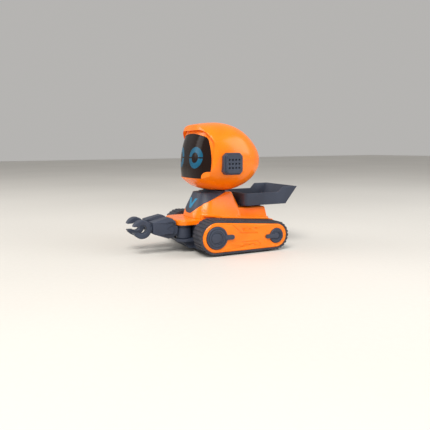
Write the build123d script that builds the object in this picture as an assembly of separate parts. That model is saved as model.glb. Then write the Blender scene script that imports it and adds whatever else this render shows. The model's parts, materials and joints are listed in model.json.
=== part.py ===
from build123d import *
import os
from math import atan2, cos, degrees, pi, sin, sqrt, tan

# A line-following toy robot: a tracked body with hidden drive wheels, a head that turns on its neck,
# two arms that swing under the nose and end in turning claws, and a tray that tips at the back.
# The robot faces -Y, its left side is +X and +Z is up. The origin is on the ground, under the middle
# of the overall length and width. Every size is in millimetres.

# ---- fits and walls ----
WALL = 1.6                 # wall of the moulded shells
GAP = 0.3                  # air between pieces that move past each other
RUN_FIT = 0.08             # radial clearance of a pin that turns in its hole
SCREW_R = 1.1              # shank of every self-tapping screw
SCREW_HEAD_R = 2.1
SCREW_HEAD_T = 1.5
SCREW_POST_R = 2.5         # moulded post that a screw bites into

# ---- overall sizes ----
HALF_LENGTH = 65.9         # origin to the claw tips, and to the rear rim of the tray
HALF_WIDTH = 35.0          # origin to the outer face of an ear

# ---- tracks: fixed mouldings, a tapered loop around two hubs ----
TRACK_CLEAR = 1.1          # the tracks hang this far above the ground
TRACK_FRONT_R = 12.8
TRACK_REAR_R = 10.8
TRACK_FRONT_Y = -12.8
TRACK_REAR_Y = 36.8
TRACK_INNER_X = 24.5
TRACK_OUTER_X = 38.7
TREAD_T = 1.8              # thickness of the tread band
TREAD_COUNT = 58           # grooves across the tread
GROOVE_W = 1.1
GROOVE_DEPTH = 0.5
WEB_T = 1.4                # inner side wall of the tread moulding
PLATE_T = 2.6              # orange side plate
PLATE_PROUD = 0.4          # how far the plate stands out of the tread band
PLATE_EDGE = 0.7           # its bevelled border
RELIEF_DEPTH = 0.4
RELIEF_W = 0.8
HUB_FRONT_R = 8.2
HUB_REAR_R = 5.6
HUB_PROUD = 0.9
HUB_SEAT = 0.8             # depth of the seat that a hub cap sits in
HUB_RING_GAP = 0.25

# ---- chassis ----
TUB_FRONT_Y = -20.3
TUB_REAR_Y = 43.0
TUB_BOTTOM_Z = 3.0
TUB_TOP_Z = 21.0
TUB_HALF_W = TRACK_INNER_X
SHELF_T = 2.0              # lip under the shoulders
WEDGE_BOTTOM_Y = -24.0
WEDGE_HALF_W = 14.0

# ---- shoulders, arms and claws ----
ARM_X = 8.8
SHOULDER_Y = -26.5
DRUM_R = 5.9
DRUM_BOTTOM_Z = 10.9
DRUM_TOP_Z = 20.7
PIVOT_R = 2.4
PIVOT_LENGTH = 1.8
ARM_HALF_W = 4.7
WRIST_Y = -52.1            # front face of the forearm
WRIST_PIN_R = 1.8
CLAW_R = 6.9
CLAW_HOLE_R = 3.1
CLAW_Z = 19.4
CLAW_HALF_W = 3.0
JAW_OPENING = 4.6

# ---- nose plate ----
NOSE_BOTTOM_Z = 21.0
NOSE_T = 3.9
NOSE_CORNER_R = 7.0
NOSE_CORNER_X = 10.2
NOSE_REAR_Y = -15.5

# ---- upper body ----
DECK_TOP_Z = 31.8
DECK_HALF_W = 17.4
DECK_REAR_TOP_Y = 39.1
DECK_REAR_BOTTOM_Y = 41.9
TORSO_TOP_Z = 43.8
# height, front, rear, half width, front corner radius
TORSO_SECTIONS = (
    (24.9, -19.8, 18.1, 19.0, 13.0),
    (31.0, -18.1, 17.7, 17.4, 12.0),
    (37.5, -15.4, 15.9, 14.6, 10.5),
    (TORSO_TOP_Z, -12.9, 13.9, 11.4, 8.5),
)
TORSO_REAR_CORNER_R = 3.0
FENDER_T = 1.2             # orange ledge beside the body, over the inner part of each tread
FENDER_OUTER_X = 26.8
FENDER_FRONT_Y = -3.0
FENDER_REAR_Y = 37.0
FENDER_LIFT = 0.1          # air between the fender and the tread
BIB_T = 1.3
EMBLEM_T = 0.6

# ---- neck ----
NECK_Y = 1.5
NECK_POST_R = 7.0
NECK_BORE_R = 4.2
NECK_FLANGE_R = 10.5
NECK_FLANGE_T = 0.8
NECK_RING_R = 9.3
NECK_RING_T = 1.5

# ---- head ----
HEAD_PARTING_Z = 68.3
HEAD_WALL = 1.7
# station, half width, top, bottom
HEAD_SECTIONS = (
    (-22.0, 24.0, 92.0, 60.0),
    (-18.5, 26.6, 94.0, 53.0),
    (-14.0, 28.2, 95.3, 49.0),
    (-7.0, 29.7, 96.3, 46.2),
    (2.5, 30.2, 96.8, 45.0),
    (11.5, 29.3, 95.5, 45.0),
    (19.5, 27.0, 92.4, 46.9),
    (26.5, 23.4, 87.4, 50.2),
    (32.0, 19.0, 81.8, 54.6),
    (36.3, 13.4, 75.6, 60.0),
    (38.7, 7.5, 71.0, 64.4),
)
HEAD_TAIL = (0.0, 39.7, 67.7)
HEAD_ROUNDNESS = 2.5       # exponent of the section curve: 2 is an ellipse, more is squarer
FACE_ROUNDNESS = 3.0       # exponent of the face's plan
FACE_HALF_W = 29.4         # half axes of the face's plan
FACE_DEPTH = 28.3
FACE_CENTRE_Y = 8.0
FACE_BULGE_Z = 64.0        # height where the face stands furthest forward
FACE_BULGE_R = 62.0        # radius of its side view
HOOD_EXTRA_W = 1.4         # the hood's plan is this much wider
HOOD_PROUD = 0.5           # and this much further forward
HOOD_BULGE_R = 96.0        # the hood's front edge is more upright than the face
LENS_T = 2.0
LENS_REVEAL = 0.3          # the visor lies this much below the bezel
VISOR_TOP_Z = 88.4
VISOR_BOTTOM_Z = 55.2
VISOR_HALF_W = 25.9
VISOR_SHOULDER_X = 22.0
VISOR_SHOULDER_Z = 85.2
VISOR_FOOT_X = 24.6
LUG_R = 5.2                # rounded lugs of the bezel in the visor's lower corners
BEZEL_HALF_W = 28.0
BEZEL_TOP_Z = 90.6
BEZEL_BOTTOM_Z = 52.6
EYE_X = 13.2
EYE_Z = 70.5
EYE_R = 7.9
EYE_HOLE_R = 3.9
EYE_SPLIT = 1.0
EAR_Y = 3.3
EAR_Z = 66.1
EAR_LENGTH = 15.2
EAR_HEIGHT = 15.8
EAR_CHAMFER = 2.4
EAR_PLATE_T = 1.2
EAR_PLATE_INSET = 1.1
EAR_HOLE = 1.3
EAR_HOLE_PITCH_Y = 2.6
EAR_HOLE_PITCH_Z = 2.9
SPEAKER_R = 9.0
SPEAKER_T = 4.0
SPEAKER_X = 17.5
SPEAKER_SHELF_T = 1.5
HEAD_SCREW_X = 13.5
HEAD_SCREW_Y = 19.5

# ---- tray ----
TRAY_FRONT_Y = 19.1
TRAY_FLOOR_Z = 33.3        # underside of the tray
TRAY_LOW_RIM_Z = 42.9
TRAY_HIGH_RIM_Z = 47.0
TRAY_STEP_Y = 48.5
TRAY_STEP_LENGTH = 4.4
TRAY_HEEL_Y = 56.7         # where the floor turns up into the sloped rear wall
TRAY_TOP_HALF_W = 23.0
TRAY_FLOOR_HALF_W = 21.0
TRAY_CORNER_R = 3.0
TRAY_WALL = 1.5
HINGE_Y = 37.5
HINGE_Z = 30.0
HINGE_PIN_R = 1.0
HINGE_LUG_R = 2.1
HINGE_LUG_X = 9.0
HINGE_LUG_W = 3.0

# ---- drive ----
AXLE_Y = 28.0
AXLE_R = 1.0
WHEEL_X = 14.6             # middle of the tyre
WHEEL_R = 7.3
TYRE_R = 9.0
TYRE_W = 4.6
GEAR_MODULE = 0.6
WHEEL_TEETH = 18
PINION_TEETH = 9
GEAR_X = 9.4
GEAR_W = 2.6
MOTOR_R = 5.0
MOTOR_LENGTH = 14.0
CASTER_Y = -9.4
CASTER_R = 3.5
CASTER_CUP_T = 1.0
WELL_GAP = 0.8

# ---- electrics ----
BOARD_T = 1.2
MAIN_BOARD_Z = 17.0
SENSOR_BOARD_Z = 6.6
SENSOR_Y = -17.0
SENSOR_R = 1.5
SENSOR_PITCH = 7.0
CELL_LENGTH = 30.0
CELL_WIDTH = 14.0
CELL_T = 7.5
CELL_Y = 4.2
DOOR_T = 1.2
SWITCH_X = 0.0
SWITCH_Y = AXLE_Y
SWITCH_TRAVEL = 2.0
SOCKET_W = 7.6
SOCKET_H = 2.8
SOCKET_DEPTH = 5.4

PARTS = {}


# ---- helpers ----
def block(x0, x1, y0, y1, z0, z1):
    """A box between two corners."""
    centre = Pos((x0 + x1) / 2, (y0 + y1) / 2, (z0 + z1) / 2)
    return centre * Box(x1 - x0, y1 - y0, z1 - z0)


def across(sketch, x0, x1):
    """A side view (Y, Z) made solid from x0 to x1."""
    return extrude(Plane.YZ.offset(x0) * sketch, amount=x1 - x0, dir=(1, 0, 0))


def lengthwise(sketch, y0, y1):
    """A front view (X, Z) made solid from y0 to y1."""
    return extrude(Plane.XZ.offset(-y0) * sketch, amount=y1 - y0, dir=(0, 1, 0))


def upward(sketch, z0, z1):
    """A plan (X, Y) made solid from z0 to z1."""
    return extrude(Plane.XY.offset(z0) * sketch, amount=z1 - z0, dir=(0, 0, 1))


def rod_x(radius, x0, x1, y, z):
    return across(Pos(y, z) * Circle(radius), x0, x1)


def rod_y(radius, y0, y1, x, z):
    return lengthwise(Pos(x, z) * Circle(radius), y0, y1)


def rod_z(radius, z0, z1, x, y):
    return upward(Pos(x, y) * Circle(radius), z0, z1)


def outline(*points):
    return Polygon(*points, align=None)


def other_side(solid):
    return mirror(solid, about=Plane.YZ)


def keep(name, solid):
    PARTS[name] = solid


def keep_pair(name, left_solid):
    """Keep a piece of the left side and its mirror image on the right."""
    keep(name + "_left", left_solid)
    keep(name + "_right", other_side(left_solid))


def screw(x, y, head_z, length):
    """A pan-head screw put in from below."""
    head = rod_z(SCREW_HEAD_R, head_z, head_z + SCREW_HEAD_T, x, y)
    slot = SCREW_HEAD_R * 0.3
    reach = SCREW_HEAD_R * 0.7
    cross = block(x - reach, x + reach, y - slot / 2, y + slot / 2, head_z, head_z + slot)
    cross += block(x - slot / 2, x + slot / 2, y - reach, y + reach, head_z, head_z + slot)
    return head + rod_z(SCREW_R, head_z + SCREW_HEAD_T, head_z + SCREW_HEAD_T + length, x, y) - cross


# ---- tracks ----
TRACK_FRONT_Z = TRACK_CLEAR + TRACK_FRONT_R
TRACK_REAR_Z = TRACK_CLEAR + TRACK_REAR_R
PLATE_FACE_X = TRACK_OUTER_X + PLATE_PROUD


TOP_SLOPE = 2 * atan2(TRACK_FRONT_R - TRACK_REAR_R, TRACK_REAR_Y - TRACK_FRONT_Y)


def upper_run(y, rise):
    """Height, at one station, of a line that runs this far above the tread's upper run."""
    start_y = TRACK_FRONT_Y + (TRACK_FRONT_R + rise) * sin(TOP_SLOPE)
    start_z = TRACK_FRONT_Z + (TRACK_FRONT_R + rise) * cos(TOP_SLOPE)
    return start_z - (y - start_y) * tan(TOP_SLOPE)


def loop(inset):
    """The track's side view, the two hub circles wrapped by a belt."""
    front = Pos(TRACK_FRONT_Y, TRACK_FRONT_Z) * Circle(TRACK_FRONT_R - inset)
    rear = Pos(TRACK_REAR_Y, TRACK_REAR_Z) * Circle(TRACK_REAR_R - inset)
    return make_hull((front + rear).edges())


def tread_grooves():
    edge = loop(0).wire()
    grooves = []
    for i in range(TREAD_COUNT):
        spot = edge @ (i / TREAD_COUNT)
        along = edge % (i / TREAD_COUNT)
        angle = degrees(atan2(along.Y, along.X))
        grooves.append(Pos(spot.X, spot.Y) * Rot(0, 0, angle) * Rectangle(GROOVE_W, 2 * GROOVE_DEPTH))
    return grooves


def make_tread():
    band = loop(0) - tread_grooves() - loop(TREAD_T)
    web = loop(TREAD_T)
    return across(band, TRACK_INNER_X, TRACK_OUTER_X) + across(web, TRACK_INNER_X, TRACK_INNER_X + WEB_T)


def relief_line(points):
    """A groove of constant width along a few straight runs of the side plate."""
    path = Polyline(*points)
    flat = trace(path, line_width=RELIEF_W)
    return across(flat, PLATE_FACE_X - RELIEF_DEPTH, PLATE_FACE_X + 1)


def make_side_plate():
    plate = across(loop(TREAD_T), PLATE_FACE_X - PLATE_T, PLATE_FACE_X)
    plate = chamfer(plate.faces().sort_by(Axis.X)[-1].edges(), PLATE_EDGE)
    for y, z, radius in (
        (TRACK_FRONT_Y, TRACK_FRONT_Z, HUB_FRONT_R),
        (TRACK_REAR_Y, TRACK_REAR_Z, HUB_REAR_R),
    ):
        plate -= rod_x(radius + HUB_RING_GAP, PLATE_FACE_X - HUB_SEAT, PLATE_FACE_X + 1, y, z)
    middle_y = (TRACK_FRONT_Y + TRACK_REAR_Y) / 2
    upper_z = TRACK_FRONT_Z + 2.2
    lower_z = TRACK_FRONT_Z - 4.8
    upper_line = [(middle_y - 12.6, upper_z + 6.6), (middle_y - 5.3, upper_z), (middle_y + 8.6, upper_z - 0.8)]
    lower_line = [(middle_y - 5.3, lower_z + 0.4), (middle_y + 8.6, lower_z), (middle_y + 11.0, lower_z - 2.6)]
    plate -= relief_line(upper_line)
    plate -= relief_line(lower_line)
    for step in (0, 1, 2):
        plate -= rod_x(0.8, PLATE_FACE_X - RELIEF_DEPTH, PLATE_FACE_X + 1, middle_y - 3.6 + 5.1 * step, upper_z + 2.5)
        dot_y = middle_y - 3.4 + 4.6 * step
        plate -= rod_x(0.5, PLATE_FACE_X - RELIEF_DEPTH, PLATE_FACE_X + 1, dot_y, lower_z - 2.4)
    for dash_y in (middle_y - 16.0, middle_y - 9.4):
        plate -= relief_line([(dash_y - 1.2, upper_z + 7.0), (dash_y + 1.2, upper_z + 7.0)])
    return plate


def make_hub(y, z, radius, bar_end, bar_t):
    """A hub cap with ring grooves, a crescent and a bar that points at the other hub."""
    cap = rod_x(radius, PLATE_FACE_X - HUB_SEAT, PLATE_FACE_X + HUB_PROUD, y, z)
    cap = chamfer(cap.faces().sort_by(Axis.X)[-1].edges(), 0.4)
    top = PLATE_FACE_X + HUB_PROUD
    for ring in (0.84, 0.62):
        groove = Circle(radius * ring) - Circle(radius * ring - 0.5)
        cap -= across(Pos(y, z) * groove, top - 0.35, top + 1)
    crescent = Circle(radius * 0.5) - Pos(-radius * 0.14, 0) * Circle(radius * 0.42)
    cap -= across(Pos(y, z) * crescent, top - 0.6, top + 1)
    if bar_end > y:
        bar_start = y + radius * 0.5 + bar_t / 2
    else:
        bar_start = y - radius * 0.3
    length = abs(bar_end - bar_start)
    bar = Pos((bar_start + bar_end) / 2, z) * SlotCenterToCenter(length - bar_t, bar_t)
    cap += across(bar, PLATE_FACE_X, top + 0.5)
    return cap


def make_tracks():
    keep_pair("track_tread", make_tread())
    keep_pair("side_plate", make_side_plate())
    front_bar_end = TRACK_FRONT_Y + 13.6
    rear_bar_end = TRACK_REAR_Y - 9.6
    keep_pair("front_hub", make_hub(TRACK_FRONT_Y, TRACK_FRONT_Z, HUB_FRONT_R, front_bar_end, 3.4))
    keep_pair("rear_hub", make_hub(TRACK_REAR_Y, TRACK_REAR_Z, HUB_REAR_R, rear_bar_end, 3.0))


# ---- chassis ----
REAR_SCREW_X = 13.9
REAR_SCREW_Y = 15.4
FRONT_SCREW_X = 13.2
FRONT_SCREW_Y = -11.6
TUB_FLOOR_Z = TUB_BOTTOM_Z + WALL
DOOR_Y0 = CELL_Y - CELL_WIDTH / 2 - 1.0
DOOR_Y1 = CELL_Y + CELL_WIDTH / 2 + 1.0
DOOR_HALF_W = CELL_LENGTH / 2 + 0.6


def nose_plan(inset):
    """Plan of the nose: two corners of one radius and straight sides to the rear."""
    radius = NOSE_CORNER_R - inset
    corners = Pos(-NOSE_CORNER_X, SHOULDER_Y) * Circle(radius) + Pos(NOSE_CORNER_X, SHOULDER_Y) * Circle(radius)
    half = NOSE_CORNER_X + radius
    front = SHOULDER_Y - radius
    centre = Pos(0, (front + SHOULDER_Y) / 2) * Rectangle(2 * NOSE_CORNER_X, radius)
    rear = Pos(0, (SHOULDER_Y + NOSE_REAR_Y - inset) / 2) * Rectangle(2 * half, NOSE_REAR_Y - inset - SHOULDER_Y)
    return corners + centre + rear


def screw_places():
    places = []
    for side in (-1, 1):
        places.append((side * FRONT_SCREW_X, FRONT_SCREW_Y))
        places.append((side * REAR_SCREW_X, REAR_SCREW_Y))
    return places


def wheel_well(side):
    x0 = side * (GEAR_X - GEAR_W / 2 - GAP)
    x1 = side * (WHEEL_X + TYRE_W / 2 + WELL_GAP)
    reach = TYRE_R + WELL_GAP
    return block(min(x0, x1), max(x0, x1), AXLE_Y - reach, AXLE_Y + reach, 0, TUB_FLOOR_Z)


def switch_slot():
    reach = SWITCH_TRAVEL / 2 + 2.2
    return block(SWITCH_X - reach, SWITCH_X + reach, SWITCH_Y - 1.3, SWITCH_Y + 1.3, 0, TUB_FLOOR_Z)


def make_tub():
    tub = block(-TUB_HALF_W, TUB_HALF_W, TUB_FRONT_Y, TUB_REAR_Y, TUB_BOTTOM_Z, TUB_TOP_Z)
    inner = TUB_HALF_W - WALL
    tub -= block(-inner, inner, TUB_FRONT_Y + WALL, TUB_REAR_Y - WALL, TUB_FLOOR_Z, TUB_TOP_Z)
    shelf_top = DRUM_BOTTOM_Z - GAP
    ahead = block(-HALF_WIDTH, HALF_WIDTH, -HALF_LENGTH, TUB_FRONT_Y, 0, TUB_TOP_Z)
    tub += upward(nose_plan(0.4), shelf_top - SHELF_T, shelf_top) & ahead
    wedge_top = shelf_top - SHELF_T
    wedge = outline((TUB_FRONT_Y, TUB_BOTTOM_Z), (WEDGE_BOTTOM_Y, TUB_BOTTOM_Z), (SHOULDER_Y - 3.0, wedge_top),
                    (TUB_FRONT_Y, wedge_top))
    tub += across(wedge, -WEDGE_HALF_W, WEDGE_HALF_W)
    for side in (-1, 1):
        tub -= rod_z(PIVOT_R + RUN_FIT, shelf_top - PIVOT_LENGTH - GAP, shelf_top, side * ARM_X, SHOULDER_Y)
        tub -= wheel_well(side)
    for x, y in screw_places():
        post = rod_z(SCREW_POST_R, TUB_BOTTOM_Z, TUB_TOP_Z, x, y)
        tub = tub + post - rod_z(SCREW_R, TUB_BOTTOM_Z, TUB_TOP_Z, x, y)
        tub -= rod_z(SCREW_HEAD_R + 0.2, TUB_BOTTOM_Z, TUB_BOTTOM_Z + SCREW_HEAD_T + 0.5, x, y)
    tub -= rod_x(AXLE_R, -TUB_HALF_W, TUB_HALF_W, AXLE_Y, TYRE_R)
    tub += rod_z(CASTER_R + CASTER_CUP_T + 1.0, TUB_BOTTOM_Z, CASTER_R + 2.0, 0, CASTER_Y)
    tub -= rod_z(CASTER_R + CASTER_CUP_T, 0, CASTER_R + 2.0, 0, CASTER_Y)
    for step in (-1, 0, 1):
        tub -= rod_z(SENSOR_R + 0.3, 0, TUB_FLOOR_Z, step * SENSOR_PITCH, SENSOR_Y)
    tub -= block(-DOOR_HALF_W, DOOR_HALF_W, DOOR_Y0, DOOR_Y1, 0, TUB_FLOOR_Z)
    ledge = block(-DOOR_HALF_W, DOOR_HALF_W, DOOR_Y0, DOOR_Y1, TUB_BOTTOM_Z + DOOR_T, TUB_FLOOR_Z)
    ledge -= block(-DOOR_HALF_W + 1, DOOR_HALF_W - 1, DOOR_Y0 + 1, DOOR_Y1 - 1, 0, TUB_FLOOR_Z)
    tub += ledge
    tub -= switch_slot()
    socket_z = MAIN_BOARD_Z - SOCKET_H / 2
    tub -= block(-SOCKET_W / 2, SOCKET_W / 2, TUB_REAR_Y - WALL, TUB_REAR_Y, socket_z - SOCKET_H / 2,
                 socket_z + SOCKET_H / 2)
    return tub


def make_chassis():
    keep("chassis_tub", make_tub())
    door = block(-DOOR_HALF_W + 0.1, DOOR_HALF_W - 0.1, DOOR_Y0 + 0.1, DOOR_Y1 - 0.1, TUB_BOTTOM_Z,
                 TUB_BOTTOM_Z + DOOR_T)
    for step in range(5):
        rib_y = CELL_Y - 4 + 2 * step
        door -= block(-6, 6, rib_y - 0.3, rib_y + 0.3, TUB_BOTTOM_Z, TUB_BOTTOM_Z + 0.4)
    keep("battery_door", door)
    cell_bottom = TUB_FLOOR_Z
    cell = block(-CELL_LENGTH / 2, CELL_LENGTH / 2, CELL_Y - CELL_WIDTH / 2, CELL_Y + CELL_WIDTH / 2, cell_bottom,
                 cell_bottom + CELL_T)
    keep("battery_cell", fillet(cell.edges().filter_by(Axis.X), 1.2))
    board = block(-15.0, 15.0, TUB_FRONT_Y + WALL + 0.4, 12.0, MAIN_BOARD_Z, MAIN_BOARD_Z + BOARD_T)
    for side in (-1, 1):
        board -= rod_z(SCREW_POST_R + 0.3, 0, TUB_TOP_Z, side * FRONT_SCREW_X, FRONT_SCREW_Y)
    board += block(-5, 5, -6, 4, MAIN_BOARD_Z + BOARD_T, MAIN_BOARD_Z + BOARD_T + 1.4)
    keep("main_board", board)
    sensor_board = block(-11, 11, TUB_FRONT_Y + WALL + 0.1, CASTER_Y - CASTER_R - CASTER_CUP_T - 0.4, SENSOR_BOARD_Z,
                         SENSOR_BOARD_Z + BOARD_T)
    keep("sensor_board", sensor_board)
    eyes = Compound(children=[
        rod_z(SENSOR_R, TUB_BOTTOM_Z - 0.6, SENSOR_BOARD_Z, step * SENSOR_PITCH, SENSOR_Y) for step in (-1, 0, 1)
    ])
    keep("line_sensors", eyes)
    knob = block(SWITCH_X - 1.2 - SWITCH_TRAVEL / 2, SWITCH_X + 1.2 - SWITCH_TRAVEL / 2, SWITCH_Y - 1.1,
                 SWITCH_Y + 1.1, TUB_BOTTOM_Z - 0.8, TUB_FLOOR_Z + 0.5)
    keep("switch_knob", knob)
    body = block(SWITCH_X - 4, SWITCH_X + 4, SWITCH_Y - 1.9, SWITCH_Y + 1.9, TUB_FLOOR_Z, TUB_FLOOR_Z + 1.4)
    body += block(SWITCH_X - 4, SWITCH_X + 4, SWITCH_Y - 1.9, SWITCH_Y + 1.9, TUB_FLOOR_Z + 1.4, TUB_FLOOR_Z + 2.4)
    body -= block(SWITCH_X - 3.2, SWITCH_X + 3.2, SWITCH_Y - 1.4, SWITCH_Y + 1.4, 0, TUB_FLOOR_Z + 1.4)
    keep("switch_body", body)
    socket_z = MAIN_BOARD_Z - SOCKET_H / 2
    socket = block(-SOCKET_W / 2, SOCKET_W / 2, TUB_REAR_Y - SOCKET_DEPTH, TUB_REAR_Y - 0.2, socket_z - SOCKET_H / 2,
                   socket_z + SOCKET_H / 2)
    socket -= block(-SOCKET_W / 2 + 0.4, SOCKET_W / 2 - 0.4, TUB_REAR_Y - SOCKET_DEPTH + 0.6, TUB_REAR_Y,
                    socket_z - SOCKET_H / 2 + 0.4, socket_z + SOCKET_H / 2 - 0.4)
    keep("charge_socket", socket)
    screws = [screw(x, y, TUB_BOTTOM_Z + 0.5, 20.0) for x, y in screw_places()]
    keep("chassis_screws", Compound(children=screws))


# ---- drive ----
GEAR_CENTRES = GEAR_MODULE * (WHEEL_TEETH + PINION_TEETH) / 2


def gear_plan(teeth, phase):
    """Straight-sided teeth with play, so a pair turns without touching."""
    pitch_r = GEAR_MODULE * teeth / 2
    root_r = pitch_r - 1.25 * GEAR_MODULE
    tip_r = pitch_r + 0.8 * GEAR_MODULE
    half_root = 0.68 * GEAR_MODULE
    half_tip = 0.34 * GEAR_MODULE
    plan = Circle(root_r)
    for i in range(teeth):
        tooth = outline((root_r - 0.3, -half_root), (tip_r, -half_tip), (tip_r, half_tip), (root_r - 0.3, half_root))
        plan += Rot(0, 0, phase + 360 * i / teeth) * tooth
    return plan


def make_wheel():
    """The left drive wheel, with its gear moulded on the inner side."""
    inner = WHEEL_X - TYRE_W / 2
    plan = Pos(AXLE_Y, TYRE_R)
    wheel = across(plan * Circle(WHEEL_R), inner, inner + TYRE_W)
    wheel -= across(plan * (Circle(WHEEL_R - 1.4) - Circle(2.6)), inner + TYRE_W - 1.6, inner + TYRE_W)
    wheel += across(plan * Circle(3.2), GEAR_X + GEAR_W / 2, inner)
    wheel += across(plan * gear_plan(WHEEL_TEETH, 0), GEAR_X - GEAR_W / 2, GEAR_X + GEAR_W / 2)
    return wheel - rod_x(AXLE_R + RUN_FIT, 0, TUB_HALF_W, AXLE_Y, TYRE_R)


def make_tyre():
    inner = WHEEL_X - TYRE_W / 2
    plan = Pos(AXLE_Y, TYRE_R)
    tyre = across(plan * (Circle(TYRE_R) - Circle(WHEEL_R)), inner, inner + TYRE_W)
    return chamfer(tyre.edges().filter_by(GeomType.CIRCLE).sort_by(SortBy.LENGTH)[-2:], 0.5)


def make_drive():
    wheel = make_wheel()
    keep_pair("drive_wheel", wheel)
    keep_pair("tyre", make_tyre())
    keep("wheel_axle", rod_x(AXLE_R, -TUB_HALF_W, TUB_HALF_W, AXLE_Y, TYRE_R))
    for name, side, reach in (("left", 1, -1), ("right", -1, 1)):
        y = AXLE_Y + reach * GEAR_CENTRES
        flat = block(-MOTOR_LENGTH / 2, MOTOR_LENGTH / 2, y - MOTOR_R, y + MOTOR_R, TYRE_R - 4, TYRE_R + 4)
        can = rod_x(MOTOR_R, -MOTOR_LENGTH / 2, MOTOR_LENGTH / 2, y, TYRE_R) & flat
        face = side * MOTOR_LENGTH / 2
        boss = face + side * 0.5
        can += rod_x(1.6, min(face, boss), max(face, boss), y, TYRE_R)
        shaft = face + side * 3.6
        shaft_root = face - side * 3.0
        can -= rod_x(0.75 + RUN_FIT, min(shaft_root, boss), max(shaft_root, boss), y, TYRE_R)
        keep("drive_motor_" + name, can)
        phase = 0 if PINION_TEETH % 2 else 180 / PINION_TEETH
        if reach < 0:
            phase += 180 / PINION_TEETH
        gear = across(Pos(y, TYRE_R) * gear_plan(PINION_TEETH, phase), GEAR_X - GEAR_W / 2, GEAR_X + GEAR_W / 2)
        if side < 0:
            gear = other_side(gear)
        gear += rod_x(0.75, min(shaft_root, shaft), max(shaft_root, shaft), y, TYRE_R)
        keep("motor_pinion_" + name, gear)
    keep("caster_ball", Pos(0, CASTER_Y, CASTER_R) * Sphere(CASTER_R))
    cup = rod_z(CASTER_R + CASTER_CUP_T, CASTER_R - 1.6, CASTER_R + 5.4, 0, CASTER_Y)
    cup -= Pos(0, CASTER_Y, CASTER_R) * Sphere(CASTER_R + GAP)
    cup -= rod_z(CASTER_R - 0.3, 0, CASTER_R, 0, CASTER_Y)
    keep("caster_cup", cup)


# ---- nose and arms ----
def make_nose():
    top = NOSE_BOTTOM_Z + NOSE_T
    nose = upward(nose_plan(0), NOSE_BOTTOM_Z, top)
    rim = [edge for edge in nose.faces().sort_by(Axis.Z)[-1].edges() if edge.center().Y < NOSE_REAR_Y - 0.5]
    nose = fillet(rim, 1.1)
    nose -= block(-NOSE_CORNER_X, NOSE_CORNER_X, SHOULDER_Y + 4.5, NOSE_REAR_Y - 2, NOSE_BOTTOM_Z, top - WALL)
    for side in (-1, 1):
        nose -= rod_z(PIVOT_R + RUN_FIT, NOSE_BOTTOM_Z, NOSE_BOTTOM_Z + PIVOT_LENGTH + GAP, side * ARM_X, SHOULDER_Y)
    return nose


def make_drum():
    drum = rod_z(DRUM_R, DRUM_BOTTOM_Z, DRUM_TOP_Z, ARM_X, SHOULDER_Y)
    ledge = Circle(DRUM_R) - Circle(DRUM_R - 0.3)
    drum -= upward(Pos(ARM_X, SHOULDER_Y) * ledge, DRUM_TOP_Z - 1.9, DRUM_TOP_Z - 1.4)
    drum += rod_z(PIVOT_R, DRUM_TOP_Z, DRUM_TOP_Z + PIVOT_LENGTH, ARM_X, SHOULDER_Y)
    drum += rod_z(PIVOT_R, DRUM_BOTTOM_Z - PIVOT_LENGTH, DRUM_BOTTOM_Z, ARM_X, SHOULDER_Y)
    return drum


def forearm_profile(grow):
    """Side view of the forearm: a wedge with a six-sided rear end."""
    front = WRIST_Y
    rear = SHOULDER_Y - DRUM_R - 0.4
    return outline(
        (front - grow, CLAW_Z - 3.6 - grow), (front - grow, CLAW_Z + 4.7 + grow),
        (rear - 6.9, CLAW_Z + 7.6 + grow), (rear - 4.0, CLAW_Z + 6.9 + grow),
        (rear - 0.2 + grow, CLAW_Z + 2.9), (rear + grow, CLAW_Z - 1.2), (rear - 0.6 + grow, CLAW_Z - 4.6),
        (rear - 3.6, CLAW_Z - 7.6 - grow), (rear - 6.9, CLAW_Z - 8.2 - grow))


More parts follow.
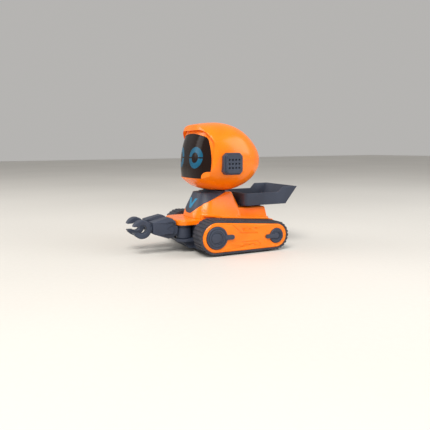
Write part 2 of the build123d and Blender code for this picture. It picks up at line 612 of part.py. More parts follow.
def make_forearm():
    rear = SHOULDER_Y - DRUM_R - 0.4
    arm = across(forearm_profile(0), ARM_X - ARM_HALF_W, ARM_X + ARM_HALF_W)
    half = ARM_HALF_W
    section = outline(
        (ARM_X - half, CLAW_Z - 4.5), (ARM_X - half, CLAW_Z + 4.2), (ARM_X - half + 2.2, CLAW_Z + 10),
        (ARM_X + half - 2.2, CLAW_Z + 10), (ARM_X + half, CLAW_Z + 4.2), (ARM_X + half, CLAW_Z - 4.5),
        (ARM_X + half - 2.6, CLAW_Z - 10), (ARM_X - half + 2.6, CLAW_Z - 10))
    arm &= lengthwise(section, -HALF_LENGTH, SHOULDER_Y)
    arm += block(ARM_X - 2.4, ARM_X + 2.4, rear - 3.0, SHOULDER_Y, DRUM_BOTTOM_Z + 1.8, DRUM_TOP_Z - 2.6)
    arm -= rod_z(DRUM_R, 0, HALF_LENGTH, ARM_X, SHOULDER_Y)
    arm -= rod_z(NOSE_CORNER_R + 1.0, DRUM_TOP_Z - 0.2, HALF_LENGTH, ARM_X, SHOULDER_Y)
    arm -= block(0, HALF_WIDTH, SHOULDER_Y - NOSE_CORNER_R - 0.8, 0, DRUM_TOP_Z - 0.2, HALF_LENGTH)
    triangle = outline((rear - 8.6, CLAW_Z - 0.8), (rear - 3.6, CLAW_Z + 2.0), (rear - 3.6, CLAW_Z - 3.8))
    line = 0.45
    for face, way in ((ARM_X + half, 1), (ARM_X - half, -1)):
        inside = face - way * RELIEF_DEPTH
        arm -= across(triangle, min(face + way, inside), max(face + way, inside))
        for step in (1.0, 2.1):
            rim = outline(
                (rear - 9.5, CLAW_Z + 4.6 - step * 0.6), (rear - 3.7 - step * 0.4, CLAW_Z + 5.1 - step * 0.6),
                (rear - step - 0.3, CLAW_Z + 2.4), (rear - step - 0.1, CLAW_Z - 1.2), (rear - step - 0.7, CLAW_Z - 4.2),
                (rear - 3.6 - step * 0.4, CLAW_Z - 6.2 + step * 0.5), (rear - 9.5, CLAW_Z - 5.6 + step * 0.5))
            ring = rim - offset(rim, -line)
            ring -= Pos(rear - 10, CLAW_Z) * Rectangle(2, 16)
            arm -= across(ring, min(face + way, inside), max(face + way, inside))
    arm -= rod_y(WRIST_PIN_R + RUN_FIT, WRIST_Y, WRIST_Y + 5.0, ARM_X, CLAW_Z)
    return arm


CLAW_Y = -HALF_LENGTH + sqrt(CLAW_R ** 2 - (JAW_OPENING / 2) ** 2)


def claw_profile():
    """A ring with its jaws open to the front; the jaw tips are the robot's foremost points."""
    ring = Pos(CLAW_Y, CLAW_Z) * (Circle(CLAW_R) - Circle(CLAW_HOLE_R))
    return ring - Pos(CLAW_Y - CLAW_R / 2, CLAW_Z) * Rectangle(CLAW_R, JAW_OPENING)


def make_claw():
    neck_front = CLAW_Y + CLAW_R - 1.2
    claw = across(claw_profile(), ARM_X - CLAW_HALF_W, ARM_X + CLAW_HALF_W)
    edges = claw.faces().filter_by(Axis.X).edges().filter_by(GeomType.CIRCLE)
    claw = chamfer(edges, 0.5)
    claw += rod_y(3.4, neck_front, WRIST_Y - 0.1, ARM_X, CLAW_Z)
    claw -= rod_x(CLAW_HOLE_R, ARM_X - 5, ARM_X + 5, CLAW_Y, CLAW_Z)
    return claw + rod_y(WRIST_PIN_R, WRIST_Y - 0.1, WRIST_Y + 4.6, ARM_X, CLAW_Z)


def make_arms():
    keep("nose_plate", make_nose())
    keep_pair("shoulder_drum", make_drum())
    keep_pair("forearm", make_forearm())
    keep_pair("claw", make_claw())


# ---- upper body ----
def torso_section(height, front, rear, half, corner, inset):
    plan = Pos(0, (front + rear) / 2) * Rectangle(2 * (half - inset), rear - front - 2 * inset)
    corners = plan.vertices().sort_by(Axis.Y)
    plan = fillet(corners[:2], corner - inset)
    corners = plan.vertices().group_by(Axis.Y)[-1]
    plan = fillet(corners, TORSO_REAR_CORNER_R - inset * 0.8)
    return Plane.XY.offset(height) * plan


def torso_form(inset, drop=0.0):
    """The smooth body above the tracks; a positive inset gives the inside of its wall."""
    sections = []
    for height, front, rear, half, corner in TORSO_SECTIONS:
        sections.append(torso_section(height - drop, front, rear, half, corner, inset))
    return loft(sections)


def bib_region():
    """The part of the body that the dark chest panel covers."""
    side = outline((-60, 16.4), (-10.5, 36.4), (14.0, 46.4), (14.0, 60), (-60, 60))
    region = across(side, -HALF_WIDTH, HALF_WIDTH)
    tongue = outline((-14.0, 39), (-12.6, 34.5), (-8.4, 30.4), (-4.0, 28.2), (4.0, 28.2), (8.4, 30.4), (12.6, 34.5),
                     (14.0, 39))
    region &= block(-HALF_WIDTH, HALF_WIDTH, -60, 60, 33.6, 60)
    return region + lengthwise(tongue, -60, -8)


def emblem_plan():
    return outline((-5.8, 39.4), (-2.6, 39.4), (0.8, 34.8), (4.2, 39.4), (7.4, 39.4), (2.3, 32.0), (-0.7, 32.0))


def fender_strip(front, rear, bottom, rise, half):
    """A strip that follows the slope of the treads; with no bottom given it is as thick as the fender."""
    low_front = upper_run(front, rise - FENDER_T) if bottom is None else bottom
    low_rear = upper_run(rear, rise - FENDER_T) if bottom is None else bottom
    side = outline((front, low_front), (rear, low_rear), (rear, upper_run(rear, rise)),
                   (front, upper_run(front, rise)))
    return across(side, -half, half)


def skirt_plan(front, rear, half):
    """Plan of the body's lower edge: as wide as the deck at its ends, and full between the treads."""
    right = [(DECK_HALF_W, front), (half, FENDER_FRONT_Y), (half, FENDER_REAR_Y), (DECK_HALF_W, rear)]
    left = [(-x, y) for x, y in reversed(right)]
    return outline(*right, *left)


def make_upper_body():
    outer = torso_form(0)
    rear_wall = DECK_REAR_TOP_Y - WALL
    inner = torso_form(WALL, drop=WALL * 0.6) & block(-40, 40, -40, 40, 0, TORSO_TOP_Z - WALL)
    skirt_half = TRACK_INNER_X - GAP
    skirt_front = NOSE_REAR_Y + 0.1
    skirt_rear = TUB_REAR_Y - 0.2
    skirt = fender_strip(skirt_front, skirt_rear, TUB_TOP_Z, FENDER_LIFT, skirt_half)
    skirt -= block(-skirt_half + WALL, skirt_half - WALL, skirt_front + WALL, skirt_rear - WALL, TUB_TOP_Z, 40)
    skirt += fender_strip(skirt_front, skirt_rear, None, FENDER_LIFT + FENDER_T, skirt_half) - inner
    skirt &= upward(skirt_plan(skirt_front, skirt_rear, skirt_half), TUB_TOP_Z, TORSO_TOP_Z)
    ledge = fender_strip(FENDER_FRONT_Y, FENDER_REAR_Y, None, FENDER_LIFT + FENDER_T, FENDER_OUTER_X)
    skirt += ledge - block(-skirt_half + WALL, skirt_half - WALL, FENDER_FRONT_Y, FENDER_REAR_Y, 0, TORSO_TOP_Z)
    cover = block(-skirt_half, skirt_half, TUB_FRONT_Y, skirt_rear, TUB_TOP_Z, TUB_TOP_Z + FENDER_T)
    cover -= block(-DECK_HALF_W + WALL, DECK_HALF_W - WALL, skirt_front + WALL, skirt_rear - WALL, 0, TORSO_TOP_Z)
    nose_half = NOSE_CORNER_X + NOSE_CORNER_R + GAP
    skirt += cover - block(-nose_half, nose_half, TUB_FRONT_Y - 1, skirt_front, 0, TORSO_TOP_Z)
    side = outline((12, TUB_TOP_Z), (DECK_REAR_BOTTOM_Y + 0.3, TUB_TOP_Z), (DECK_REAR_TOP_Y, DECK_TOP_Z),
                   (12, DECK_TOP_Z))
    deck = across(side, -DECK_HALF_W, DECK_HALF_W)
    long_edges = deck.edges().filter_by(Axis.Y)
    cross_edges = deck.edges().filter_by(Axis.X)
    top_edges = long_edges.group_by(Axis.Z)[-1] + cross_edges.group_by(Axis.Z)[-1].sort_by(Axis.Y)[-1:]
    deck = fillet(top_edges, 1.2)
    hollow = outline((0, TUB_TOP_Z - 1), (DECK_REAR_BOTTOM_Y - WALL, TUB_TOP_Z - 1), (rear_wall, DECK_TOP_Z - WALL),
                     (0, DECK_TOP_Z - WALL))
    deck_inner = across(hollow, -DECK_HALF_W + WALL, DECK_HALF_W - WALL)
    shell = (outer - inner) + skirt + (deck - inner) - deck_inner
    for x, y in screw_places():
        top = DECK_TOP_Z - 2 if y > 0 else 31
        shell = shell + rod_z(SCREW_POST_R, TUB_TOP_Z, top, x, y)
        shell -= rod_z(SCREW_R, TUB_TOP_Z, TUB_TOP_Z + 5, x, y)
    for side_sign in (-1, 1):
        x = side_sign * HINGE_LUG_X
        half = HINGE_LUG_W / 2 + GAP
        shell += block(x - half - 1.6, x + half + 1.6, HINGE_Y - 3, rear_wall + 0.6, HINGE_Z - 3.2, DECK_TOP_Z - 1)
        shell -= block(x - half, x + half, HINGE_Y - HINGE_LUG_R - GAP - 0.4, 60, HINGE_Z - HINGE_LUG_R - GAP, 60)
    shell -= rod_x(HINGE_PIN_R, -HINGE_LUG_X - 3, HINGE_LUG_X + 3, HINGE_Y, HINGE_Z)
    region = bib_region()
    emblem_prism = lengthwise(emblem_plan(), -60, -8)
    bib = (outer - torso_form(BIB_T)) & region
    bib += (outer & block(-40, 40, -40, 40, TORSO_TOP_Z - BIB_T, TORSO_TOP_Z)) & region
    emblem = (outer - torso_form(EMBLEM_T)) & emblem_prism
    keep("chest_panel", bib - emblem - rod_z(NECK_BORE_R, 0, 60, 0, NECK_Y))
    keep("chest_emblem", emblem)
    keep("body_shell", shell - region)


# ---- neck ----
NECK_TOP_Z = TORSO_TOP_Z + NECK_FLANGE_T + 7.0


def make_neck():
    flange_top = TORSO_TOP_Z + NECK_FLANGE_T
    post = rod_z(NECK_FLANGE_R, TORSO_TOP_Z, flange_top, 0, NECK_Y)
    post += rod_z(NECK_POST_R, flange_top, NECK_TOP_Z, 0, NECK_Y)
    keep("neck_post", post - rod_z(NECK_BORE_R, 0, 60, 0, NECK_Y))
    ring = rod_z(NECK_RING_R, NECK_TOP_Z - NECK_RING_T, NECK_TOP_Z, 0, NECK_Y)
    keep("neck_ring", ring - rod_z(NECK_POST_R, 0, 60, 0, NECK_Y))


# ---- head ----
def head_section(station, half, top, bottom, inset):
    """A closed curve between an ellipse and a rectangle, across the head."""
    a = half - inset
    b = (top - bottom) / 2 - inset
    middle = (top + bottom) / 2
    points = []
    count = 24
    for i in range(count):
        angle = 2 * pi * i / count
        c, s = cos(angle), sin(angle)
        x = a * abs(c) ** (2 / HEAD_ROUNDNESS) * (1 if c >= 0 else -1)
        z = b * abs(s) ** (2 / HEAD_ROUNDNESS) * (1 if s >= 0 else -1)
        points.append((x, station, middle + z))
    return Face(Wire(Edge.make_spline(points, periodic=True)))


def head_form(inset):
    sections = [head_section(*row, inset) for row in HEAD_SECTIONS]
    x, y, z = HEAD_TAIL
    return Solid.make_loft([face.outer_wire() for face in sections] + [Vertex(x, y - inset, z)])


def face_section(half, depth, height):
    """Plan of the face at one height."""
    points = []
    count = 32
    for i in range(count):
        angle = 2 * pi * i / count
        c, s = cos(angle), sin(angle)
        x = half * abs(c) ** (2 / FACE_ROUNDNESS) * (1 if c >= 0 else -1)
        y = depth * abs(s) ** (2 / FACE_ROUNDNESS) * (1 if s >= 0 else -1)
        points.append((x, FACE_CENTRE_Y + y, height))
    return Wire(Edge.make_spline(points, periodic=True))


def face_body(inset, extra_w, bulge_r):
    """A body whose front is the face: curved in plan, and bulging in side view."""
    sections = []
    for step in range(9):
        height = 36 + 9 * step
        sag = bulge_r - sqrt(bulge_r ** 2 - (height - FACE_BULGE_Z) ** 2)
        half = FACE_HALF_W + extra_w - inset - sag / 2
        sections.append(face_section(half, FACE_DEPTH - inset - sag, height))
    return Solid.make_loft(sections)


def lens_body(inset):
    return face_body(inset, 0, FACE_BULGE_R)


def behind_face():
    return block(-50, 50, FACE_CENTRE_Y, 60, 20, 120)


def visor_outline():
    top = ThreePointArc((-VISOR_SHOULDER_X, VISOR_SHOULDER_Z), (0, VISOR_TOP_Z), (VISOR_SHOULDER_X, VISOR_SHOULDER_Z))
    right = ThreePointArc((VISOR_SHOULDER_X, VISOR_SHOULDER_Z), (VISOR_HALF_W, 71), (VISOR_FOOT_X, VISOR_BOTTOM_Z))
    left = ThreePointArc((-VISOR_FOOT_X, VISOR_BOTTOM_Z), (-VISOR_HALF_W, 71), (-VISOR_SHOULDER_X, VISOR_SHOULDER_Z))
    bottom = Line((VISOR_FOOT_X, VISOR_BOTTOM_Z), (-VISOR_FOOT_X, VISOR_BOTTOM_Z))
    sketch = make_face([top, right, bottom, left])
    sketch = fillet(sketch.vertices().group_by(Axis.Y)[-1], 6.0)
    for side in (-1, 1):
        sketch -= Pos(side * (VISOR_FOOT_X + 0.3), VISOR_BOTTOM_Z) * Circle(LUG_R)
    return sketch


def bezel_outline():
    height = BEZEL_TOP_Z - BEZEL_BOTTOM_Z
    middle = (BEZEL_TOP_Z + BEZEL_BOTTOM_Z) / 2
    return Pos(0, middle) * RectangleRounded(2 * BEZEL_HALF_W, height, 13.0)


def eye_ring_outline(x):
    ring = Circle(EYE_R) - Circle(EYE_HOLE_R) - Rectangle(3 * EYE_R, EYE_SPLIT)
    return Pos(x, EYE_Z) * ring


def make_head():
    form = head_form(0) & (face_body(-HOOD_PROUD, HOOD_EXTRA_W, HOOD_BULGE_R) + behind_face())
    window = lengthwise(bezel_outline(), -40, FACE_CENTRE_Y)
    lens_outer = lens_body(0)
    lens_inner = lens_body(LENS_T)
    behind = lens_inner + behind_face()
    cavity = head_form(HEAD_WALL) & behind
    shell = form - cavity - (window - lens_inner)
    bore = rod_z(NECK_POST_R + RUN_FIT, 0, 60, 0, NECK_Y)
    collar_top = NECK_TOP_Z - NECK_RING_T - GAP
    collar = rod_z(NECK_RING_R + 0.6, 40, collar_top, 0, NECK_Y) & form
    shelf_bottom = EAR_Z - SPEAKER_R - SPEAKER_SHELF_T
    shelf = block(SPEAKER_X - 1, HALF_WIDTH, EAR_Y - 6, EAR_Y + 6, shelf_bottom, EAR_Z - SPEAKER_R) & form
    lower = shell & block(-50, 50, -50, 60, 0, HEAD_PARTING_Z)
    lower = lower + collar + shelf - bore
    upper = shell & block(-50, 50, -50, 60, HEAD_PARTING_Z, 120)
    screws = []
    for side in (-1, 1):
        x = side * HEAD_SCREW_X
        lower += rod_z(SCREW_POST_R + 0.6, 40, HEAD_PARTING_Z, x, HEAD_SCREW_Y) & form
        lower -= rod_z(SCREW_HEAD_R + 0.3, 0, 56, x, HEAD_SCREW_Y)
        lower -= rod_z(SCREW_R, 0, HEAD_PARTING_Z, x, HEAD_SCREW_Y)
        upper += rod_z(SCREW_POST_R + 0.6, HEAD_PARTING_Z, 110, x, HEAD_SCREW_Y) & form
        upper -= rod_z(SCREW_R, HEAD_PARTING_Z, HEAD_PARTING_Z + 6, x, HEAD_SCREW_Y)
        screws.append(screw(x, HEAD_SCREW_Y, 56 - SCREW_HEAD_T, HEAD_PARTING_Z + 6 - 56))
    keep("head_lower_shell", lower)
    keep("head_upper_shell", upper)
    keep("head_screws", Compound(children=screws))
    front_half = block(-50, 50, -50, FACE_CENTRE_Y - 4, 20, 110)
    skin = (lens_outer - lens_inner) & window & front_half & form
    visor_prism = lengthwise(visor_outline(), -40, FACE_CENTRE_Y)
    keep("face_bezel", skin - visor_prism)
    lens = (lens_body(LENS_REVEAL) - lens_inner) & visor_prism & front_half
    rings = {}
    for name, side in (("left", 1), ("right", -1)):
        prism = lengthwise(eye_ring_outline(side * EYE_X), -40, 0)
        rings[name] = lens & prism
    for name, ring in rings.items():
        lens -= ring
        keep("eye_ring_" + name, ring)
    keep("visor", lens)
    make_head_electrics(cavity)
    make_ears(form)


def make_head_electrics(cavity):
    board_front = -12.6
    board = block(-17, 17, board_front, board_front + BOARD_T, 62, 80)
    board += block(-5, 5, board_front, board_front + BOARD_T, 40, 62) & cavity
    for side in (-1, 1):
        board += rod_y(2.4, board_front - 1.2, board_front, side * EYE_X, EYE_Z)
    keep("eye_board", board)
    speaker = rod_x(SPEAKER_R, SPEAKER_X, SPEAKER_X + SPEAKER_T, EAR_Y, EAR_Z)
    speaker -= rod_x(SPEAKER_R - 1.5, SPEAKER_X + SPEAKER_T - 0.8, SPEAKER_X + SPEAKER_T, EAR_Y, EAR_Z)
    speaker += rod_x(SPEAKER_R * 0.5, SPEAKER_X - 1.5, SPEAKER_X, EAR_Y, EAR_Z)
    keep("speaker", speaker)


def make_ears(form):
    plate_inner = HALF_WIDTH - EAR_PLATE_T
    centre = Pos(EAR_Y, EAR_Z)
    base_plan = Rectangle(EAR_LENGTH, EAR_HEIGHT)
    base_plan = chamfer(base_plan.vertices(), EAR_CHAMFER)
    base = across(centre * base_plan, 20, plate_inner)
    base = chamfer(base.faces().sort_by(Axis.X)[-1].edges(), 0.5)
    keep("ear_base_left", base - form)
    keep("ear_base_right", other_side(base) - form)
    plate_plan = RectangleRounded(EAR_LENGTH - 2 * EAR_PLATE_INSET, EAR_HEIGHT - 2 * EAR_PLATE_INSET, 2.2)
    holes = []
    for column in range(4):
        for row in range(3):
            y = (column - 1.5) * EAR_HOLE_PITCH_Y
            z = (row - 1) * EAR_HOLE_PITCH_Z
            holes.append(Pos(y, z) * Rectangle(EAR_HOLE, EAR_HOLE))
    plate = across(centre * (plate_plan - holes), plate_inner, HALF_WIDTH)
    keep_pair("ear_grille", plate)


# ---- tray ----
def tray_profile(inset, top_extra):
    """Side view of the tray; the rim is low in front and steps up at the rear."""
    rear_low = TRAY_HEEL_Y
    slope = (HALF_LENGTH - rear_low) / (TRAY_HIGH_RIM_Z - TRAY_FLOOR_Z)
    floor = TRAY_FLOOR_Z + inset
    heel = rear_low + slope * inset - inset * 1.2
    rim_rear = HALF_LENGTH - inset * 1.2 + slope * top_extra
    low = TRAY_LOW_RIM_Z + top_extra
    high = TRAY_HIGH_RIM_Z + top_extra
    if inset:
        return outline((TRAY_FRONT_Y + inset, floor), (heel, floor), (rim_rear, high), (TRAY_FRONT_Y + inset, high))
    return outline((TRAY_FRONT_Y + 0.6, floor), (heel, floor), (rim_rear, high),
                   (TRAY_STEP_Y + TRAY_STEP_LENGTH, high), (TRAY_STEP_Y, low), (TRAY_FRONT_Y, low))


def tray_front_view(inset):
    low = TRAY_FLOOR_Z
    high = TRAY_HIGH_RIM_Z + 5
    slope = (TRAY_TOP_HALF_W - TRAY_FLOOR_HALF_W) / (TRAY_HIGH_RIM_Z - TRAY_FLOOR_Z)
    top_half = TRAY_FLOOR_HALF_W + slope * (high - low) - inset
    floor_half = TRAY_FLOOR_HALF_W - inset
    return outline((-floor_half, low), (floor_half, low), (top_half, high), (-top_half, high))


def make_tray():
    tray = across(tray_profile(0, 0), -HALF_WIDTH, HALF_WIDTH)
    tray &= lengthwise(tray_front_view(0), 0, HALF_LENGTH + 10)
    front_posts = tray.edges().filter_by(lambda e: e.center().Y < TRAY_FRONT_Y + 1 and abs(e.center().X) > 15)
    tray = fillet(front_posts.sort_by(SortBy.LENGTH)[-2:], TRAY_CORNER_R)
    inner = across(tray_profile(TRAY_WALL, 3.0), -HALF_WIDTH, HALF_WIDTH)
    inner &= lengthwise(tray_front_view(TRAY_WALL), 0, HALF_LENGTH + 10)
    inner_posts = inner.edges().filter_by(lambda e: e.center().Y < TRAY_FRONT_Y + 3 and abs(e.center().X) > 15)
    inner = fillet(inner_posts.sort_by(SortBy.LENGTH)[-2:], TRAY_CORNER_R - 1.0)
    tray -= inner
    for side in (-1, 1):
        x = side * HINGE_LUG_X
        lug = rod_x(HINGE_LUG_R, x - HINGE_LUG_W / 2, x + HINGE_LUG_W / 2, HINGE_Y, HINGE_Z)
        lug += block(x - HINGE_LUG_W / 2, x + HINGE_LUG_W / 2, HINGE_Y - HINGE_LUG_R, HINGE_Y + HINGE_LUG_R, HINGE_Z,
                     TRAY_FLOOR_Z)
        tray += lug
    tray -= rod_x(HINGE_PIN_R + RUN_FIT, -HALF_WIDTH, HALF_WIDTH, HINGE_Y, HINGE_Z)
    keep("tray", tray)
    keep("tray_hinge_pin", rod_x(HINGE_PIN_R, -HINGE_LUG_X - 3, HINGE_LUG_X + 3, HINGE_Y, HINGE_Z))


def main():
    make_tracks()
    make_chassis()
    make_drive()
    make_arms()
    make_upper_body()
    make_neck()
    make_head()
    make_tray()
    os.makedirs("parts", exist_ok=True)
    for name, solid in PARTS.items():
        export_step(solid, "parts/" + name + ".step")
    print(len(PARTS), "sub-parts written")


main()
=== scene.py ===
import json
from math import radians

import bpy
from mathutils import Matrix, Vector


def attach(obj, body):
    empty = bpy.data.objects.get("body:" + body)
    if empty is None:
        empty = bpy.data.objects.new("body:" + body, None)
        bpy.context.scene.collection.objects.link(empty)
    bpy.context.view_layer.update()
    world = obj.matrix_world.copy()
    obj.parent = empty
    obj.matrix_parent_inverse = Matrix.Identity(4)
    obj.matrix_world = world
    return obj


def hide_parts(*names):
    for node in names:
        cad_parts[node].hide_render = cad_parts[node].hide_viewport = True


# A small tracked toy robot in orange and dark blue-grey plastic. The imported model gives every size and
# place. Mouldings are shown as copies of their solids with softened edges, and every piece gets its
# own finish. Lengths are metres; values whose names end in _mm are millimetres.

MM = 0.001

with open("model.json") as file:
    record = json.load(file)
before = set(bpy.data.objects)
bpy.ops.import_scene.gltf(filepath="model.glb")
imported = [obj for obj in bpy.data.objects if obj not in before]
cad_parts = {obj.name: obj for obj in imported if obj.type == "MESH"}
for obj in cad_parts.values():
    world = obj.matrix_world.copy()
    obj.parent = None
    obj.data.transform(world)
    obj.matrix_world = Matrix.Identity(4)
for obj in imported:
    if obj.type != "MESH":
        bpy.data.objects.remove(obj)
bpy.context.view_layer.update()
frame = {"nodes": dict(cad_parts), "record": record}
body_of_node = {}
for body, body_nodes in frame["record"]["behaviour"]["bodies"].items():
    for body_node in body_nodes:
        body_of_node[body_node] = body


# ---- colours ----
ORANGE = "#FC8008"
ORANGE_DEEP = "#F47604"
SLATE = "#3B4252"
SLATE_DEEP = "#343A49"
TREAD = "#2A2D38"
TREAD_DUST = "#3C3B42"
VISOR = "#1C1311"
VISOR_WARM = "#231815"
EYE_BLUE = "#175B7B"
EYE_BLUE_DEEP = "#124E69"
EMBLEM_BLUE = "#2585B0"
EMBLEM_BLUE_DEEP = "#1F789F"
BOARD_GREEN = "#1E5A37"
BOARD_TRACK = "#2B7047"
STEEL = "#B9BBBF"
NYLON = "#E6E3DA"
NYLON_DEEP = "#DDD9CE"
CELL_BLUE = "#3A62A8"
CELL_BLUE_DEEP = "#335796"
SOFT_BLACK = "#1B1C1F"
SOFT_BLACK_WORN = "#232427"
FLOOR = "#D8D5CF"
FLOOR_DEEP = "#D2CFC9"


def linear(code):
    """An sRGB hex colour as linear RGBA."""
    channels = []
    for start in (1, 3, 5):
        value = int(code[start:start + 2], 16) / 255
        channels.append(value / 12.92 if value <= 0.04045 else ((value + 0.055) / 1.055) ** 2.4)
    return (*channels, 1.0)


# ---- materials ----
def add(tree, kind, settings=None, links=None):
    """Adds a node, sets its properties or sockets, and links its inputs to (node, output) pairs."""
    new = tree.nodes.new(kind)
    for key, value in (settings or {}).items():
        if key == "stops":
            ramp = new.color_ramp
            for element, (place, code) in zip(ramp.elements, value):
                element.position = place
                element.color = linear(code)
        elif key in new.inputs:
            new.inputs[key].default_value = value
        else:
            setattr(new, key, value)
    for key, (source, output) in (links or {}).items():
        tree.links.new(source.outputs[output], new.inputs[key])
    return new


def start_material(name):
    """An empty node tree with a shader and the object's own coordinates."""
    material = bpy.data.materials.new(name)
    material.use_nodes = True
    tree = material.node_tree
    tree.nodes.clear()
    shader = add(tree, "ShaderNodeBsdfPrincipled")
    add(tree, "ShaderNodeOutputMaterial", links={"Surface": (shader, "BSDF")})
    place = add(tree, "ShaderNodeTexCoord")
    return material, tree, shader, place


def moulded(name, colours, tone_mm, grain_mm, depth_mm, roughness, coat=0.0, ior=1.5, specular=0.5):
    """A plastic whose tone drifts slowly, with a fine grain that also varies its gloss."""
    material, tree, shader, place = start_material(name)
    tone = add(tree, "ShaderNodeTexNoise", {"Scale": 1 / (tone_mm * MM), "Detail": 2.0},
               {"Vector": (place, "Object")})
    ramp = add(tree, "ShaderNodeValToRGB", {"stops": ((0.35, colours[0]), (0.7, colours[1]))},
               {"Fac": (tone, "Fac")})
    tree.links.new(ramp.outputs["Color"], shader.inputs["Base Color"])
    grain = add(tree, "ShaderNodeTexNoise", {"Scale": 1 / (grain_mm * MM), "Detail": 3.0},
                {"Vector": (place, "Object")})
    gloss = add(tree, "ShaderNodeMapRange", {"From Min": 0.3, "From Max": 0.7, "To Min": roughness[0],
                                             "To Max": roughness[1]}, {"Value": (grain, "Fac")})
    tree.links.new(gloss.outputs["Result"], shader.inputs["Roughness"])
    bump = add(tree, "ShaderNodeBump", {"Strength": 0.35, "Distance": depth_mm * MM},
               {"Height": (grain, "Fac")})
    tree.links.new(bump.outputs["Normal"], shader.inputs["Normal"])
    shader.inputs["IOR"].default_value = ior
    shader.inputs["Specular IOR Level"].default_value = specular
    shader.inputs["Coat Weight"].default_value = coat
    shader.inputs["Coat Roughness"].default_value = 0.12
    return material


def metal(name, colour, grain_mm, roughness):
    """Plain drawn steel: fine lines along the length of the stock."""
    material, tree, shader, place = start_material(name)
    stretch = add(tree, "ShaderNodeMapping", {"Scale": (0.08, 1.0, 1.0)}, {"Vector": (place, "Object")})
    lines = add(tree, "ShaderNodeTexNoise", {"Scale": 1 / (grain_mm * MM), "Detail": 2.0},
                {"Vector": (stretch, "Vector")})
    gloss = add(tree, "ShaderNodeMapRange", {"To Min": roughness[0], "To Max": roughness[1]},
                {"Value": (lines, "Fac")})
    tree.links.new(gloss.outputs["Result"], shader.inputs["Roughness"])
    shader.inputs["Base Color"].default_value = linear(colour)
    shader.inputs["Metallic"].default_value = 1.0
    return material


def make_materials():
    """One finish for each material slot of the record, and one more for the emblem."""
    return {
        # glossy moulded ABS: deep even orange, sharp highlights, a very faint orange-peel surface
        "orange_plastic": moulded("glossy orange ABS", (ORANGE, ORANGE_DEEP), 18, 1.1, 0.006, (0.2, 0.28),
                                  specular=0.4),
        # satin moulded ABS: spark-eroded grain of 0.2 mm, drawn twice as coarse so that it shows
        "slate_plastic": moulded("satin slate ABS", (SLATE, SLATE_DEEP), 14, 0.4, 0.03, (0.38, 0.52),
                                 specular=0.32),
        # moulded elastomer: matt, with a little dust
        "tread_rubber": moulded("tread elastomer", (TREAD, TREAD_DUST), 5, 0.5, 0.05, (0.55, 0.75), ior=1.48),
        # smoked acrylic: almost black and mirror smooth
        "visor_black": moulded("smoked acrylic", (VISOR, VISOR_WARM), 30, 2.0, 0.002, (0.14, 0.2), ior=1.49,
                               specular=0.1),
        # coloured acrylic of the eyes: deep blue behind a thin clear face
        "eye_blue": moulded("sky blue acrylic", (EYE_BLUE, EYE_BLUE_DEEP), 6, 0.9, 0.008, (0.2, 0.3),
                            ior=1.49, specular=0.15),
        # painted relief of the emblem: the same blue, lighter because nothing covers it
        "emblem_blue": moulded("sky blue paint", (EMBLEM_BLUE, EMBLEM_BLUE_DEEP), 4, 0.5, 0.008, (0.25, 0.35),
                               specular=0.3),
        # solder mask over copper tracks: green with lighter patches
        "board_green": moulded("green solder mask", (BOARD_GREEN, BOARD_TRACK), 1.2, 0.6, 0.02, (0.3, 0.45)),
        # drawn steel of the axle, the pins, the screws and the metal cans: fine lines in its gloss
        "steel": metal("drawn steel", STEEL, 0.5, (0.22, 0.4)),
        # natural nylon of gears and wheels: waxy white
        "white_plastic": moulded("natural nylon", (NYLON, NYLON_DEEP), 6, 0.5, 0.015, (0.4, 0.5), ior=1.53),
        # shrink film round the cell: smooth, slightly glossy
        "cell_wrap": moulded("blue shrink film", (CELL_BLUE, CELL_BLUE_DEEP), 9, 1.6, 0.02, (0.25, 0.4),
                             ior=1.55),
        # satin black ABS of the speaker, the line sensors and the switch knob: dark, with soft highlights
        "black_plastic": moulded("black ABS", (SOFT_BLACK, SOFT_BLACK_WORN), 8, 0.5, 0.02, (0.4, 0.55)),
    }


# ---- pieces ----
CORNER_DEG = 32              # edges sharper than this are corners
CORNER_SEGMENTS = 2
MERGE_MM = 0.01
FLAT_FACE_WEIGHT = 80        # how strongly large faces set the shading at their corners
POINTED = ("head_upper_shell", "head_lower_shell")
POINT_STARTS_MM = 34.0       # the head's faces crowd together at its back, beyond this


def only(piece):
    """Selects this piece and nothing else."""
    bpy.ops.object.select_all(action="DESELECT")
    piece.select_set(True)
    bpy.context.view_layer.objects.active = piece


def merged_copy(node):
    """A copy of a solid with its triangles joined."""
    mesh = frame["nodes"][node].data.copy()
    piece = bpy.data.objects.new(node + "_moulding", mesh)
    bpy.context.scene.collection.objects.link(piece)
    only(piece)
    bpy.ops.object.mode_set(mode="EDIT")
    bpy.ops.mesh.select_all(action="SELECT")
    bpy.ops.mesh.customdata_custom_splitnormals_clear()
    bpy.ops.mesh.remove_doubles(threshold=MERGE_MM * MM)
    bpy.ops.object.mode_set(mode="OBJECT")
    return piece


def mark_corners(piece):
    """Marks the sharp edges for rounding, except where the faces close to a point at the back."""
    only(piece)
    bpy.ops.object.mode_set(mode="EDIT")
    bpy.ops.mesh.select_mode(type="EDGE")
    bpy.ops.mesh.select_all(action="DESELECT")
    bpy.ops.mesh.edges_select_sharp(sharpness=radians(CORNER_DEG))
    bpy.ops.object.mode_set(mode="OBJECT")
    mesh = piece.data
    weights = mesh.attributes.new("bevel_weight_edge", "FLOAT", "EDGE")
    for edge in mesh.edges:
        rear = max(mesh.vertices[number].co.y for number in edge.vertices)
        if edge.select and rear < POINT_STARTS_MM * MM:
            weights.data[edge.index].value = 1.0


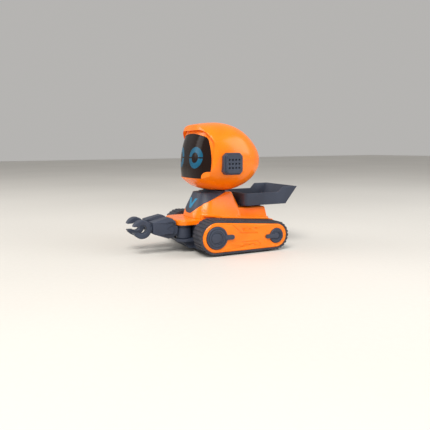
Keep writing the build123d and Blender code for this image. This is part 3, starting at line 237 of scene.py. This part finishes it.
def soften(node, radius_mm, material):
    """Shows a moulding with its sharp corners rounded, in place of its solid."""
    piece = merged_copy(node)
    rounding = piece.modifiers.new("rounding", "BEVEL")
    rounding.width = radius_mm * MM
    rounding.segments = CORNER_SEGMENTS
    rounding.use_clamp_overlap = False
    if node in POINTED:
        mark_corners(piece)
        rounding.limit_method = "WEIGHT"
    else:
        rounding.limit_method = "ANGLE"
        rounding.angle_limit = radians(CORNER_DEG)
    bpy.ops.object.modifier_apply(modifier=rounding.name)
    bpy.ops.object.shade_smooth_by_angle(angle=radians(CORNER_DEG))
    weighting = piece.modifiers.new("large faces stay flat", "WEIGHTED_NORMAL")
    weighting.mode = "FACE_AREA"
    weighting.weight = FLAT_FACE_WEIGHT
    weighting.keep_sharp = True
    bpy.ops.object.modifier_apply(modifier=weighting.name)
    piece.data.materials.clear()
    piece.data.materials.append(material)
    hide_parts(node)
    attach(piece, body_of_node[node])


# Corner radii of the mouldings: single ones, and ones that come as a left and a right.
ROUNDING_MM = {
    "nose_plate": 0.25,
    "tray": 0.35,
    "neck_ring": 0.3,
    "body_shell": 0.25,
    "chest_panel": 0.15,
    "head_upper_shell": 0.15,
    "head_lower_shell": 0.15,
}
PAIR_ROUNDING_MM = {
    "forearm": 0.25,
    "claw": 0.3,
    "shoulder_drum": 0.2,
    "ear_base": 0.3,
    "ear_grille": 0.2,
    "side_plate": 0.12,
    "front_hub": 0.12,
    "rear_hub": 0.12,
    "track_tread": 0.12,
}


def dress(materials):
    """Gives every solid its finish, then shows the visible mouldings with softened edges."""
    slots = {entry["node"]: entry["material_slot"] for entry in frame["record"]["subparts"]}
    slots["chest_emblem"] = "emblem_blue"
    for node, piece in frame["nodes"].items():
        piece.data.materials.clear()
        piece.data.materials.append(materials[slots[node]])
    radii = dict(ROUNDING_MM)
    for name, radius in PAIR_ROUNDING_MM.items():
        radii[name + "_left"] = radius
        radii[name + "_right"] = radius
    for node, radius in radii.items():
        soften(node, radius, materials[slots[node]])


# ---- studio ----
FLOOR_SIZE = 6.0
LIGHT_TARGET = (0, 0, 0.05)
WORLD_COLOUR = "#EDEBE8"
WORLD_STRENGTH = 0.55
CAMERA_PLACE = (0.3420, -0.1578, 0.0780)
CAMERA_RIGHT = (0.41418, 0.91017, -0.00735)
CAMERA_UP = (-0.13819, 0.07086, 0.98787)
CAMERA_BACK = (0.89964, -0.40814, 0.15513)
LENS_MM = 40.1
SHIFT = 0.0177


def make_camera():
    """A camera turned as its three axes say."""
    data = bpy.data.cameras.new("camera")
    data.lens = LENS_MM
    data.shift_x = SHIFT
    data.shift_y = SHIFT
    data.clip_start = 0.01
    camera = bpy.data.objects.new("camera", data)
    bpy.context.scene.collection.objects.link(camera)
    turn = Matrix((CAMERA_RIGHT, CAMERA_UP, CAMERA_BACK)).transposed()
    camera.matrix_world = Matrix.Translation(CAMERA_PLACE) @ turn.to_4x4()
    bpy.context.scene.camera = camera


def area_light(name, place, size, watts, warmth):
    """A square soft light that faces the robot."""
    data = bpy.data.lights.new(name, "AREA")
    data.shape = "SQUARE"
    data.size = size
    data.energy = watts
    data.color = warmth
    light = bpy.data.objects.new(name, data)
    bpy.context.scene.collection.objects.link(light)
    light.location = place
    light.rotation_euler = (Vector(LIGHT_TARGET) - Vector(place)).to_track_quat("-Z", "Y").to_euler()


def make_studio():
    """A pale floor, three soft lights and an even sky."""
    bpy.ops.object.select_all(action="DESELECT")
    bpy.ops.mesh.primitive_plane_add(size=FLOOR_SIZE, location=(0, 0, 0))
    floor = bpy.context.active_object
    floor.name = "studio floor"
    # matt paint: an even pale ground that only takes soft shadows
    paint = moulded("painted floor", (FLOOR, FLOOR_DEEP), 300, 3.0, 0.02, (0.5, 0.65))
    floor.data.materials.append(paint)
    area_light("key", (0.45, -0.35, 0.75), 0.5, 8.0, (1.0, 0.97, 0.93))
    area_light("fill", (0.5, 0.7, 0.45), 0.7, 4.5, (0.95, 0.97, 1.0))
    area_light("front", (-0.5, -0.9, 0.5), 0.6, 4.0, (1.0, 0.98, 0.96))
    world = bpy.data.worlds.new("studio")
    world.use_nodes = True
    sky = world.node_tree.nodes["Background"]
    sky.inputs["Color"].default_value = linear(WORLD_COLOUR)
    sky.inputs["Strength"].default_value = WORLD_STRENGTH
    bpy.context.scene.world = world
    bpy.context.scene.view_settings.view_transform = "Standard"


dress(make_materials())
make_studio()
make_camera()
